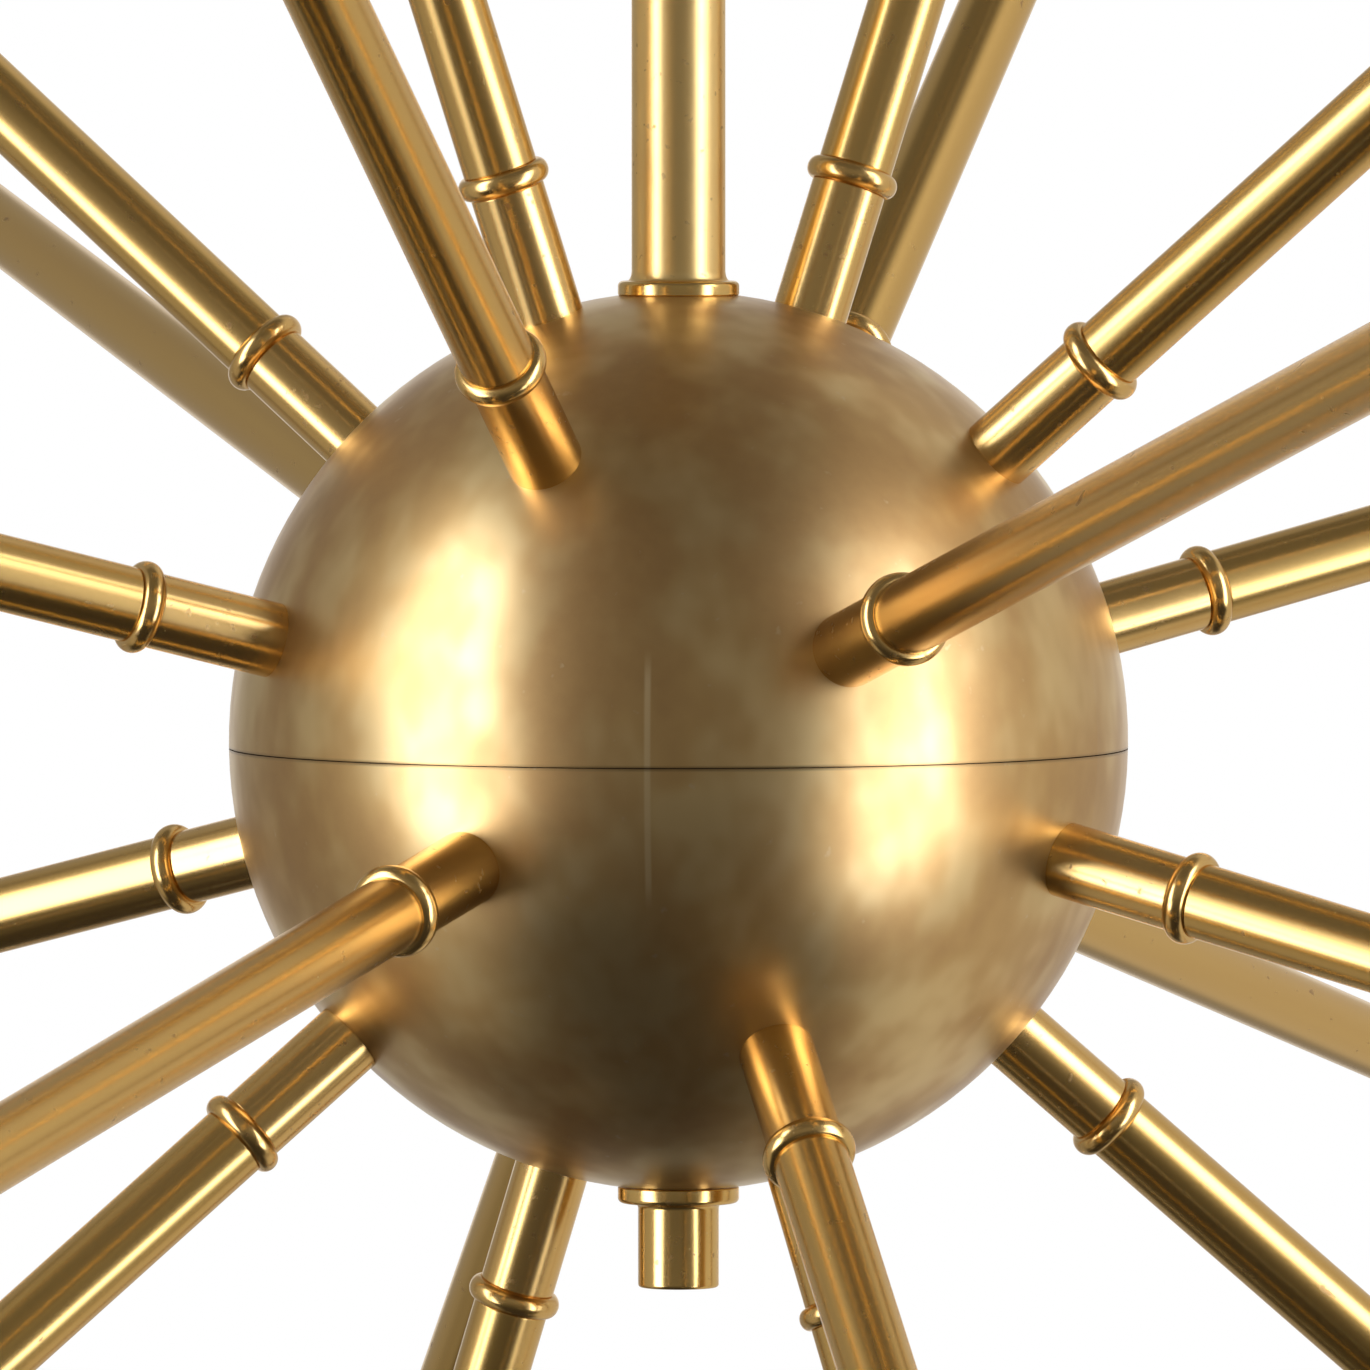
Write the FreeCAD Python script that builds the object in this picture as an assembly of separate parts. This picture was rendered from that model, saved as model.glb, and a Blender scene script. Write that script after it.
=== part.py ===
import FreeCAD, Part
import math
import os

from FreeCAD import Placement, Rotation, Vector

# Sputnik chandelier: a spun brass ball with twenty beaded arms, on a stem that hangs from a ceiling
# canopy. Millimetres. The origin is on the ceiling plane over the middle of the ceiling bracket, +Z is
# up and -Y is the front. Azimuths are counted about Z from the front towards +X.

os.makedirs("parts", exist_ok=True)

# ---------------------------------------------------------------- driving dimensions

# Ball: two spun half shells, which meet a little under the widest line.
ball_diameter = 120.0
ball_centre_below_ceiling = 620.0
shell_wall = 1.5
seam_below_centre = 0.8
seam_gap = 0.15
lip_wall = 0.8
lip_above_seam = 4.0
lip_below_seam = 4.2
lip_play = 0.3

# Arms: each ring is (elevation, azimuth of its first arm, number of arms). The half shells are drilled
# alike, with the steep pair in line with two arms of the flattest ring.
arm_rings = [
    (71.5, 135.0, 2),
    (40.4, 0.0, 4),
    (13.9, 45.0, 4),
    (-13.9, 0.0, 4),
    (-40.4, 45.0, 4),
    (-71.5, 90.0, 2),
]
lower_half_turn = -6.0  # the lower half shell is fitted this far round from the upper one
arm_diameter = 10.0
arm_wall = 1.0
arm_tube_length = 305.0
bead_diameter = 12.4
bead_width = 3.0
bead_from_centre = 79.2
nipple_diameter = 8.0
nipple_bore = 5.5
nipple_length = 40.0
nipple_inside_ball = 9.0
arm_nut_across_flats = 13.0
arm_nut_height = 4.0
thread_clearance = 0.1  # all round a thread that only passes through

# Lamp end of an arm: brass cup, insulated lamp holder and round bulb.
cup_diameter = 28.0
cup_wall = 1.0
cup_neck_diameter = 12.6
cup_neck_length = 7.0
cup_flare_length = 11.0
cup_barrel_length = 20.0
cup_swell = 0.72  # share of the flare's widening at the point that its arc passes through
cup_swell_outside = 0.35  # how far along the flare that point is, outside and inside
cup_swell_inside = 0.45
tube_into_cup = 16.0
holder_diameter = 25.0
holder_boss_diameter = 15.0
holder_boss_length = 8.0
holder_boss_on_tube = 5.0
holder_stands_out = 2.0
holder_rim_round = 1.2
socket_play = 0.3
bulb_cap_diameter = 13.6
bulb_cap_length = 17.0
bulb_neck_off_holder = 1.0
bulb_neck_diameter = 15.0
bulb_diameter = 45.0
bulb_glass_length = 57.0

# Stem, the rod through the ball, and what clamps the two half shells.
stem_diameter = 12.5
stem_wall = 1.25
rod_bore = 7.0
rod_bore_below_centre = 8.0
rod_into_stem = 14.0
rod_shoulder_below_centre = 50.0
rod_tail_diameter = 8.0
rod_tail_off_thread_end = 0.35
stem_flare_width = 0.65
stem_flare_height = 1.4
flange_diameter = 16.2
flange_thickness = 1.65
flange_round = 0.7
flange_broken_edge = 0.15
shell_hole_play = 0.2
inner_washer_diameter = 18.0
inner_washer_thickness = 1.5
inner_washer_below_pole = 2.3
rod_nut_across_flats = 14.0
rod_nut_height = 4.5

# Finial: a plain turned nut with a blind thread. Its washer stays on top of it as it comes down.
finial_diameter = 10.8
finial_length = 11.2
finial_edge = 0.45
finial_flare = 0.6
finial_wall_below_thread = 1.7
finial_running_play = 0.05
finial_washer_play = 0.35
finial_washer_below_ball = 0.1
finial_below_washer = 0.1

# Ceiling bracket: a strip with a dropped middle, and two slots for the ceiling screws.
bracket_half_length = 47.0
bracket_width = 24.0
bracket_thickness = 3.0
bracket_drop = 10.0
bracket_middle_half = 21.5
bracket_bend_run = 5.5
bracket_bend_radius = 2.0
ceiling_slot_spacing = 74.0
ceiling_slot_width = 4.6
ceiling_slot_length = 12.0
earth_screw_out = 16.0
earth_screw_diameter = 4.0
earth_screw_past_bracket = 2.0
earth_head_diameter = 7.0
earth_washer_diameter = 9.0
earth_washer_thickness = 0.8
earth_head_height = 2.6
earth_head_round = 1.2
earth_slot_width = 1.0
earth_slot_depth = 0.9

# Hang-straight swivel: two forks at right angles, with a block and pins between them.
swivel_below_ceiling = 26.0
fork_diameter = 20.0
fork_slot = 11.6
fork_slot_reach = 9.0
fork_cheek_half_width = 5.4
swivel_block_side = 11.0
swivel_block_edge = 0.8
pin_diameter = 5.0
pin_running_play = 0.05
pin_short_of_fork = 0.2
short_pin_gap = 0.4
upper_shank_diameter = 10.0
upper_shank_length = 9.5
lock_nut_across_flats = 17.0
lock_nut_height = 5.0
fork_flange = 4.0
lower_boss_length = 12.0
spigot_length = 12.0
spigot_bore = 7.5
lead_window_diameter = 6.0
lead_window_above_stem = 5.0
bore_above_window = 1.0
lower_boss_flat = 8.5

# Canopy with its collar, which slides down the stem when its grub screw is slack.
canopy_diameter = 120.0
canopy_bottom_diameter = 112.0
canopy_height = 52.0
canopy_below_ceiling = 1.0
canopy_wall = 1.0
canopy_shoulder = 16.0
canopy_dish = 2.0
canopy_rim_width = 3.0
canopy_rim_height = 3.0
canopy_hole_play = 0.4
canopy_hole_land = 6.0
collar_diameter = 18.0
collar_height = 11.0
collar_round = 1.5
collar_play = 0.05
grub_diameter = 4.0
grub_sunk = 0.6
grub_off_stem = 0.1
grub_slot_width = 0.7
grub_slot_depth = 0.8

# Wiring that stays inside: supply lead, connector in the canopy, junction block and arm leads.
supply_lead_diameter = 3.5
supply_bend_radius = 5.0
supply_into_connector = 4.0
supply_into_junction = 11.5
supply_pocket_end_play = 0.5
arm_lead_diameter = 2.6
arm_lead_start = 20.5
arm_lead_into_holder = 3.0
lead_pocket_play = 0.1
junction_radius = 22.0
junction_band_half_height = 9.0
junction_cone_length = 15.0
terminal_length = 27.0
terminal_depth = 16.0
terminal_height = 12.0
terminal_poles = 3
terminal_pitch = 8.0
terminal_bore = 3.4
terminal_bore_depth = 7.0
terminal_edge_round = 1.0
terminal_screw_diameter = 3.0
terminal_well_depth = 3.6
terminal_screw_sunk = 0.8
terminal_screw_rows = (5.0, 11.5)  # how far behind the fork's flat
terminal_slot_width = 0.6
terminal_slot_depth = 0.8
terminal_fixing_diameter = 2.5
terminal_fixing_x = 4.0
terminal_fixing_up = 4.0
terminal_fixing_grip = 4.5
terminal_fixing_head = 4.6
terminal_fixing_head_height = 1.6

# Shaping in the source only.
cut_past = 1.0  # how far a cutting shape runs out of what it cuts
along_axis = 0.99  # an edge runs along an axis when its direction has at least this share of it

# ---------------------------------------------------------------- worked out from them

ball_radius = ball_diameter / 2
inner_radius = ball_radius - shell_wall
ball_centre = Vector(0, 0, -ball_centre_below_ceiling)
arm_bore = arm_diameter - 2 * arm_wall
stem_bore = stem_diameter - 2 * stem_wall
rod_diameter = stem_bore

bead_start = bead_from_centre - bead_width / 2
tube_start = bead_from_centre + bead_width / 2
tube_end = tube_start + arm_tube_length
cup_start = tube_end - tube_into_cup
cup_mouth = cup_start + cup_neck_length + cup_flare_length + cup_barrel_length
holder_start = tube_end - holder_boss_on_tube
holder_end = cup_mouth + holder_stands_out
bulb_glass_start = holder_end + bulb_neck_off_holder
bulb_cap_start = bulb_glass_start - bulb_cap_length
nipple_start = ball_radius - nipple_inside_ball

top_hole_radius = rod_diameter / 2 + shell_hole_play
bottom_hole_radius = rod_tail_diameter / 2 + shell_hole_play
top_washer_seat = math.sqrt(ball_radius**2 - top_hole_radius**2)
stem_foot = top_washer_seat + flange_thickness - ball_centre_below_ceiling
finial_washer_top = -(ball_radius + finial_washer_below_ball)
finial_top = finial_washer_top - flange_thickness - finial_below_washer
finial_thread_depth = finial_length - finial_wall_below_thread
rod_tail_end = finial_top - finial_thread_depth + rod_tail_off_thread_end

swivel_z = -swivel_below_ceiling
lower_boss_foot = swivel_z - fork_slot_reach - lower_boss_length
stem_top = lower_boss_foot
lead_window_z = lower_boss_foot + lead_window_above_stem
canopy_rim_z = -canopy_below_ceiling
canopy_foot = canopy_rim_z - canopy_height


# ---------------------------------------------------------------- helpers


def turned(start, *steps):
    """Solid turned about Z from a closed outline of (radius, height) points. A step that is a pair of
    points is an arc through the first to the second. The last point is joined to the start."""
    here = Vector(start[0], 0, start[1])
    first = here
    edges = []
    for step in steps:
        if isinstance(step[0], tuple):
            through = Vector(step[0][0], 0, step[0][1])
            there = Vector(step[1][0], 0, step[1][1])
            edges.append(Part.Arc(here, through, there).toShape())
        else:
            there = Vector(step[0], 0, step[1])
            edges.append(Part.LineSegment(here, there).toShape())
        here = there
    if here.distanceToPoint(first) > 1e-6:
        edges.append(Part.LineSegment(here, first).toShape())
    face = Part.Face(Part.Wire(edges))
    solid = face.revolve(Vector(0, 0, 0), Vector(0, 0, 1), 360)
    if solid.Volume < 0:
        solid.reverse()
    return solid


def rod(diameter, bottom, top):
    """Round bar on the Z axis."""
    return Part.makeCylinder(diameter / 2, top - bottom, Vector(0, 0, bottom))


def tube(outer, bore, bottom, top):
    """Round tube on the Z axis."""
    return rod(outer, bottom, top).cut(rod(bore, bottom, top))


def hex_nut(across_flats, bore, bottom, height):
    """Hexagon nut on the Z axis."""
    corner = across_flats / math.sqrt(3)
    corners = []
    for k in range(7):
        turn = math.radians(60 * k)
        corners.append(Vector(corner * math.cos(turn), corner * math.sin(turn), bottom))
    body = Part.Face(Part.makePolygon(corners)).extrude(Vector(0, 0, height))
    return body.cut(rod(bore, bottom, bottom + height))


def on_sphere(radius, height):
    """Distance from the Z axis of a sphere's surface at a height over its centre."""
    return math.sqrt(radius**2 - height**2)


def meridian(radius, start, end):
    """Step of turned(): an arc along a sphere about the origin, from one height to another."""
    first = math.asin(start / radius)
    last = math.asin(end / radius)
    return arc_about((0, 0), radius, first, last)


def arc_about(centre, radius, first, last):
    """Step of turned(): an arc about a centre (radius, height), between two angles from outward."""
    halfway = (first + last) / 2
    return (
        (centre[0] + radius * math.cos(halfway), centre[1] + radius * math.sin(halfway)),
        (centre[0] + radius * math.cos(last), centre[1] + radius * math.sin(last)),
    )


def arm_ways():
    """Unit vectors of all arms, ring by ring from the top."""
    ways = []
    for elevation, first, count in arm_rings:
        turn = lower_half_turn if elevation < 0 else 0.0
        rise = math.radians(elevation)
        for k in range(count):
            azimuth = math.radians(first + turn + 360.0 * k / count)
            flat = math.cos(rise)
            ways.append(Vector(flat * math.sin(azimuth), -flat * math.cos(azimuth), math.sin(rise)))
    return ways


def on_arm(shape, way):
    """A copy of a shape that was made along +Z from the ball's centre, turned onto an arm."""
    copy = shape.copy()
    copy.Placement = Placement(Vector(0, 0, 0), Rotation(Vector(0, 0, 1), way))
    return copy


def in_ball(shape):
    """A shape made about the ball's centre, moved to its place under the ceiling."""
    copy = shape.copy()
    copy.translate(ball_centre)
    return copy


def save(name, *solids):
    shape = solids[0] if len(solids) == 1 else Part.makeCompound(list(solids))
    shape.exportStep("parts/" + name + ".step")


# ---------------------------------------------------------------- ball


def arm_holes(ways):
    """Bars that drill the shell holes for the arms' threaded nipples."""
    bar = rod(nipple_diameter + 2 * thread_clearance, inner_radius - nipple_diameter, tube_start)
    return [on_arm(bar, way) for way in ways]


def upper_shell(ways):
    """Upper half: a spherical wall from the stem hole down to the seam."""
    seam = -seam_below_centre
    outer_top = on_sphere(ball_radius, top_hole_radius)
    inner_top = on_sphere(inner_radius, top_hole_radius)
    shell = turned(
        (top_hole_radius, outer_top),
        meridian(ball_radius, outer_top, seam),
        (on_sphere(inner_radius, seam), seam),
        meridian(inner_radius, seam, inner_top),
    )
    return shell.cut(arm_holes([way for way in ways if way.z > 0]))


def lower_shell(ways):
    """Lower half: the same wall, with a lip inside its edge that centres it in the upper half."""
    seam = -seam_below_centre
    edge = seam - seam_gap
    outer_foot = -on_sphere(ball_radius, bottom_hole_radius)
    inner_foot = -on_sphere(inner_radius, bottom_hole_radius)
    lip_outer = inner_radius - lip_play
    lip_inner = lip_outer - lip_wall
    lip_top = seam + lip_above_seam
    lip_foot = seam - lip_below_seam
    shell = turned(
        (bottom_hole_radius, outer_foot),
        meridian(ball_radius, outer_foot, edge),
        (lip_outer, edge),
        (lip_outer, lip_top),
        (lip_inner, lip_top),
        (lip_inner, lip_foot),
        (on_sphere(inner_radius, lip_foot), lip_foot),
        meridian(inner_radius, lip_foot, inner_foot),
    )
    return shell.cut(arm_holes([way for way in ways if way.z < 0]))


def centre_rod():
    """Hollow threaded rod from the stem through the ball, turned down at its tail for the finial."""
    top = top_washer_seat + flange_thickness + rod_into_stem
    body = rod(rod_diameter, -rod_shoulder_below_centre, top)
    body = body.fuse(rod(rod_tail_diameter, rod_tail_end, -rod_shoulder_below_centre))
    body = body.cut(rod(rod_bore, -rod_bore_below_centre, top))
    window = Part.makeCylinder(lead_window_diameter / 2, rod_diameter, Vector(0, 0, 0), Vector(0, -1, 0))
    return body.cut(window).removeSplitter()


def flange_washer(bore, seat, way):
    """Washer on the ball, rounded on the side away from it. The way is 1 for upwards, -1 for downwards."""
    outer = flange_diameter / 2
    top = seat + way * flange_thickness
    return turned(
        (bore / 2, seat),
        (outer - flange_broken_edge, seat),
        (outer, seat + way * flange_broken_edge),
        (outer, top - way * flange_round),
        arc_about((outer - flange_round, top - way * flange_round), flange_round, 0, way * math.pi / 2),
        (bore / 2, top),
    )


def top_washer():
    return flange_washer(rod_diameter + 2 * thread_clearance, top_washer_seat, 1)


def inner_washer():
    top = ball_radius - inner_washer_below_pole
    bore = rod_diameter + 2 * thread_clearance
    return tube(inner_washer_diameter, bore, top - inner_washer_thickness, top)


def rod_nut():
    top = ball_radius - inner_washer_below_pole - inner_washer_thickness
    return hex_nut(rod_nut_across_flats, rod_diameter, top - rod_nut_height, rod_nut_height)


def finial_washer():
    return flange_washer(rod_tail_diameter + 2 * finial_washer_play, finial_washer_top, -1)


def finial():
    """Plain cylinder, flared a little at its top, with a blind thread from above and a rounded edge below."""
    radius = finial_diameter / 2
    bore = rod_tail_diameter / 2 + finial_running_play
    foot = finial_top - finial_length
    return turned(
        (0, foot),
        (radius - finial_edge, foot),
        arc_about((radius - finial_edge, foot + finial_edge), finial_edge, -math.pi / 2, 0),
        (radius, finial_top - finial_flare),
        arc_about((radius + finial_flare, finial_top - finial_flare), finial_flare, math.pi, math.pi / 2),
        (bore, finial_top),
        (bore, finial_top - finial_thread_depth),
        (0, finial_top - finial_thread_depth),
    )


# ---------------------------------------------------------------- arms, made along +Z


def arm_sleeve():
    """Short distance tube. Its foot is cut to the ball's curve, so that it seats all round."""
    sleeve = tube(arm_diameter, nipple_diameter + 2 * thread_clearance, inner_radius, bead_start)
    return sleeve.cut(Part.makeSphere(ball_radius))


def bead_ring():
    """Ring with a half-round rim, which hides the joint of sleeve and arm."""
    low = bead_from_centre - bead_width / 2
    high = bead_from_centre + bead_width / 2
    bore = nipple_diameter / 2 + thread_clearance
    return turned(
        (bore, low),
        (arm_diameter / 2, low),
        ((bead_diameter / 2, bead_from_centre), (arm_diameter / 2, high)),
        (bore, high),
    )


def arm_tube():
    return tube(arm_diameter, arm_bore, tube_start, tube_end)


def arm_nipple():
    """Hollow threaded nipple that ties lock nut, shell, sleeve, bead ring and arm together."""
    return tube(nipple_diameter, nipple_bore, nipple_start, nipple_start + nipple_length)


def arm_lock_nut():
    """Nut inside the ball, as far out as its corners let it go."""
    corner = arm_nut_across_flats / math.sqrt(3)
    top = on_sphere(inner_radius, corner) - thread_clearance
    return hex_nut(arm_nut_across_flats, nipple_diameter, top - arm_nut_height, arm_nut_height)


def arm_lead():
    """Insulated lead from the junction block to the lamp holder."""
    return rod(arm_lead_diameter, arm_lead_start, tube_end + arm_lead_into_holder)


def lamp_cup():
    """Turned cup: a neck on the arm's end, a bell-shaped flare, and a straight barrel with an open mouth."""
    neck = cup_neck_diameter / 2
    outer = cup_diameter / 2
    inner = outer - cup_wall
    flare_start = cup_start + cup_neck_length
    flare_end = flare_start + cup_flare_length
    outside = (neck + cup_swell * (outer - neck), flare_start + cup_swell_outside * cup_flare_length)
    inside = (neck + cup_swell * (inner - neck), flare_start + cup_swell_inside * cup_flare_length)
    return turned(
        (arm_diameter / 2, cup_start),
        (neck, cup_start),
        (neck, flare_start),
        (outside, (outer, flare_end)),
        (outer, cup_mouth),
        (inner, cup_mouth),
        (inner, flare_end),
        (inside, (neck, flare_start + cup_wall)),
        (arm_diameter / 2, flare_start + cup_wall),
    )


def lamp_holder():
    """Insulated holder, screwed on the arm's end, with the socket for the bulb's cap."""
    boss = holder_boss_diameter / 2
    body = holder_diameter / 2
    socket = bulb_cap_diameter / 2 + socket_play
    step = holder_start + holder_boss_length
    holder = turned(
        (arm_diameter / 2, holder_start),
        (boss, holder_start),
        (boss, step),
        (body, step),
        (body, holder_end - holder_rim_round),
        (body - holder_rim_round, holder_end),
        (socket, holder_end),
        (socket, bulb_cap_start),
        (0, bulb_cap_start),
        (0, tube_end),
        (arm_diameter / 2, tube_end),
    )
    pocket = arm_lead_diameter + 2 * lead_pocket_play
    return holder.cut(rod(pocket, tube_end, tube_end + arm_lead_into_holder))


def bulb_cap():
    return rod(bulb_cap_diameter, bulb_cap_start, bulb_glass_start)


def bulb_glass():
    """Round bulb: a cone that runs off the cap and onto the globe without a corner."""
    globe = bulb_diameter / 2
    tip = bulb_glass_start + bulb_glass_length
    middle = tip - globe
    neck = bulb_neck_diameter / 2
    below = middle - bulb_glass_start
    reach = math.hypot(neck, below)
    turn = math.atan2(neck, below) + math.acos(globe / reach)
    touch = (globe * math.sin(turn), middle - globe * math.cos(turn))
    return turned((0, bulb_glass_start), (neck, bulb_glass_start), touch, ((globe, middle), (0, tip)))


# ---------------------------------------------------------------- ceiling bracket and swivel


def bracket_strip():
    """Side view of the bent strip, run across its width."""
    ends = bracket_half_length
    foot = bracket_middle_half
    knee = bracket_middle_half + bracket_bend_run
    thick = bracket_thickness
    top = [(-ends, 0), (-knee, 0), (-foot, -bracket_drop), (foot, -bracket_drop), (knee, 0), (ends, 0)]
    low = [(x, z - thick) for x, z in reversed(top)]
    points = [Vector(x, -bracket_width / 2, z) for x, z in top + low]
    face = Part.Face(Part.makePolygon(points + points[:1]))
    strip = face.extrude(Vector(0, bracket_width, 0))
    bends = []
    for edge in strip.Edges:
        middle = edge.CenterOfMass
        across = abs(edge.tangentAt(edge.FirstParameter).y) > along_axis
        if across and abs(middle.x) < (knee + ends) / 2:
            bends.append(edge)
    return strip.makeFillet(bracket_bend_radius, bends)


def ceiling_bracket():
    """Bent steel strip with two screw slots, the swivel's hole and the earth screw's hole."""
    strip = bracket_strip()
    deep = bracket_drop + bracket_thickness + cut_past
    cuts = [rod(upper_shank_diameter + 2 * thread_clearance, -deep, cut_past)]
    earth = rod(earth_screw_diameter, -deep, cut_past)
    earth.translate(Vector(earth_screw_out, 0, 0))
    cuts.append(earth)
    straight = ceiling_slot_length - ceiling_slot_width
    for side in (-1, 1):
        middle = side * ceiling_slot_spacing / 2
        for end in (-1, 1):
            hole = rod(ceiling_slot_width, -deep, cut_past)
            hole.translate(Vector(middle + end * straight / 2, 0, 0))
            cuts.append(hole)
        corner = Vector(middle - straight / 2, -ceiling_slot_width / 2, -deep)
        cuts.append(Part.makeBox(straight, ceiling_slot_width, deep + cut_past, corner))
    return strip.cut(cuts)


def fork():
    """Swivel fork about its own pin axis (Y): a round base above two cheeks with rounded ends."""
    reach = fork_slot_reach
    half = fork_cheek_half_width
    corner = Vector(-fork_diameter / 2, -fork_slot / 2, -2 * reach)
    cheeks = rod(fork_diameter, -half, reach)
    cheeks = cheeks.cut(Part.makeBox(fork_diameter, fork_slot, 3 * reach, corner))
    left_top = Vector(-half, 0, reach)
    left = Vector(-half, 0, 0)
    right = Vector(half, 0, 0)
    right_top = Vector(half, 0, reach)
    outline = Part.Wire(
        [
            Part.LineSegment(left_top, left).toShape(),
            Part.Arc(left, Vector(0, 0, -half), right).toShape(),
            Part.LineSegment(right, right_top).toShape(),
            Part.LineSegment(right_top, left_top).toShape(),
        ]
    )
    rounded = Part.Face(outline).extrude(Vector(0, fork_diameter, 0))
    rounded.translate(Vector(0, -fork_diameter / 2, 0))
    cheeks = cheeks.common(rounded)
    hole_foot = Vector(0, -fork_diameter / 2, 0)
    return cheeks.cut(Part.makeCylinder(pin_diameter / 2, fork_diameter, hole_foot, Vector(0, 1, 0)))


def upper_fork():
    """Fork under the bracket, with a threaded shank that goes up through it."""
    flange = rod(fork_diameter, fork_slot_reach, fork_slot_reach + fork_flange)
    shank_foot = fork_slot_reach + fork_flange
    shank = rod(upper_shank_diameter, shank_foot, shank_foot + upper_shank_length)
    whole = fork().fuse([flange, shank]).removeSplitter()
    whole.translate(Vector(0, 0, swivel_z))
    return whole


def swivel_lock_nut():
    bottom = -bracket_drop
    return hex_nut(lock_nut_across_flats, upper_shank_diameter, bottom, lock_nut_height)


def lower_fork():
    """Fork on the stem: a boss with a hollow spigot below it, a window for the lead and a milled flat."""
    prongs = fork()
    prongs.rotate(Vector(0, 0, 0), Vector(1, 0, 0), 180)
    prongs.rotate(Vector(0, 0, 0), Vector(0, 0, 1), 90)
    prongs.translate(Vector(0, 0, swivel_z))
    boss = rod(fork_diameter, lower_boss_foot, swivel_z - fork_slot_reach)
    spigot = rod(stem_bore, lower_boss_foot - spigot_length, lower_boss_foot)
    whole = prongs.fuse([boss, spigot])
    bore_top = lead_window_z + lead_window_diameter / 2 + bore_above_window
    whole = whole.cut(rod(spigot_bore, lower_boss_foot - spigot_length, bore_top))
    middle = Vector(0, 0, lead_window_z)
    window = Part.makeCylinder(lead_window_diameter / 2, fork_diameter, middle, Vector(0, 1, 0))
    corner = Vector(-fork_diameter / 2, lower_boss_flat, lower_boss_foot)
    flat = Part.makeBox(fork_diameter, fork_diameter, lower_boss_length, corner)
    return whole.cut([window, flat, terminal_fixing_shank()]).removeSplitter()


def swivel_block():
    """Block with crossed holes between the two forks."""
    side = swivel_block_side
    block = Part.makeBox(side, side, side, Vector(-side / 2, -side / 2, -side / 2))
    block = block.makeChamfer(swivel_block_edge, block.Edges)
    hole_radius = pin_diameter / 2 + pin_running_play
    for way in (Vector(1, 0, 0), Vector(0, 1, 0)):
        block = block.cut(Part.makeCylinder(hole_radius, 2 * side, way * -side, way))
    block.translate(Vector(0, 0, swivel_z))
    return block


def swivel_long_pin():
    """Pin through the lower fork and the block, along X."""
    length = fork_diameter - 2 * pin_short_of_fork
    return Part.makeCylinder(pin_diameter / 2, length, Vector(-length / 2, 0, swivel_z), Vector(1, 0, 0))


def swivel_short_pins():
    """Two pins in the upper fork's cheeks, along Y, which stop short of the long pin."""
    inner = pin_diameter / 2 + short_pin_gap
    length = fork_diameter / 2 - pin_short_of_fork - inner
    pins = []
    for side in (-1, 1):
        foot = Vector(0, side * inner, swivel_z)
        pins.append(Part.makeCylinder(pin_diameter / 2, length, foot, Vector(0, side, 0)))
    return pins


def earth_screw():
    """Earth screw with its washer, from below through the bracket."""
    seat = -(bracket_drop + bracket_thickness)
    washer_foot = seat - earth_washer_thickness
    head_foot = washer_foot - earth_head_height
    head = earth_head_diameter / 2
    washer = earth_washer_diameter / 2
    thread = earth_screw_diameter / 2
    tip = -bracket_drop + earth_screw_past_bracket
    bend = earth_head_round
    screw = turned(
        (0, head_foot),
        (head - bend, head_foot),
        arc_about((head - bend, head_foot + bend), bend, -math.pi / 2, 0),
        (head, washer_foot),
        (washer, washer_foot),
        (washer, seat),
        (thread, seat),
        (thread, tip),
        (0, tip),
    )
    corner = Vector(-head - cut_past, -earth_slot_width / 2, head_foot - cut_past)
    slot = Part.makeBox(2 * (head + cut_past), earth_slot_width, earth_slot_depth + cut_past, corner)
    screw = screw.cut(slot)
    screw.translate(Vector(earth_screw_out, 0, 0))
    return screw


# ---------------------------------------------------------------- stem, canopy and collar


def stem():
    """Tube, flared a little at its foot, where it stands on the flange washer."""
    outer = stem_diameter / 2
    flare_top = stem_foot + stem_flare_height
    near_foot = (outer + stem_flare_width / 4, stem_foot + stem_flare_height / 4)
    return turned(
        (stem_bore / 2, stem_foot),
        (outer + stem_flare_width, stem_foot),
        (near_foot, (outer, flare_top)),
        (outer, stem_top),
        (stem_bore / 2, stem_top),
    )


def canopy():
    """Spun cup, open to the ceiling: rolled rim, tapered side, round shoulder and slightly dished floor."""
    rim = canopy_diameter / 2
    side_foot = canopy_bottom_diameter / 2
    wall = canopy_wall
    foot = canopy_foot
    shoulder = canopy_shoulder
    bend_centre = (side_foot - shoulder, foot + canopy_dish + shoulder)
    floor = bend_centre[1] - shoulder
    hole = stem_diameter / 2 + canopy_hole_play
    land = hole + canopy_hole_land
    rim_foot = canopy_rim_z - canopy_rim_height
    rim_middle = (rim + canopy_rim_width / 2 - wall, canopy_rim_z - canopy_rim_height / 2)
    return turned(
        (rim - wall, canopy_rim_z),
        (rim_middle, (rim - wall / 2, rim_foot)),
        (side_foot, bend_centre[1]),
        arc_about(bend_centre, shoulder, 0, -math.pi / 2),
        (land, foot),
        (hole, foot),
        (hole, foot + wall),
        (land, foot + wall),
        (bend_centre[0], floor + wall),
        arc_about(bend_centre, shoulder - wall, -math.pi / 2, 0),
    )


def canopy_collar():
    """Turned collar under the canopy, with rounded edges and a side hole for its grub screw."""
    outer = collar_diameter / 2
    bore = stem_diameter / 2 + collar_play
    top = canopy_foot
    foot = top - collar_height
    bend = collar_round
    collar = turned(
        (bore, foot),
        (outer - bend, foot),
        arc_about((outer - bend, foot + bend), bend, -math.pi / 2, 0),
        (outer, top - bend),
        arc_about((outer - bend, top - bend), bend, 0, math.pi / 2),
        (bore, top),
    )
    middle = Vector(0, 0, top - collar_height / 2)
    return collar.cut(Part.makeCylinder(grub_diameter / 2, outer, middle, Vector(0, 1, 0)))


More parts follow.
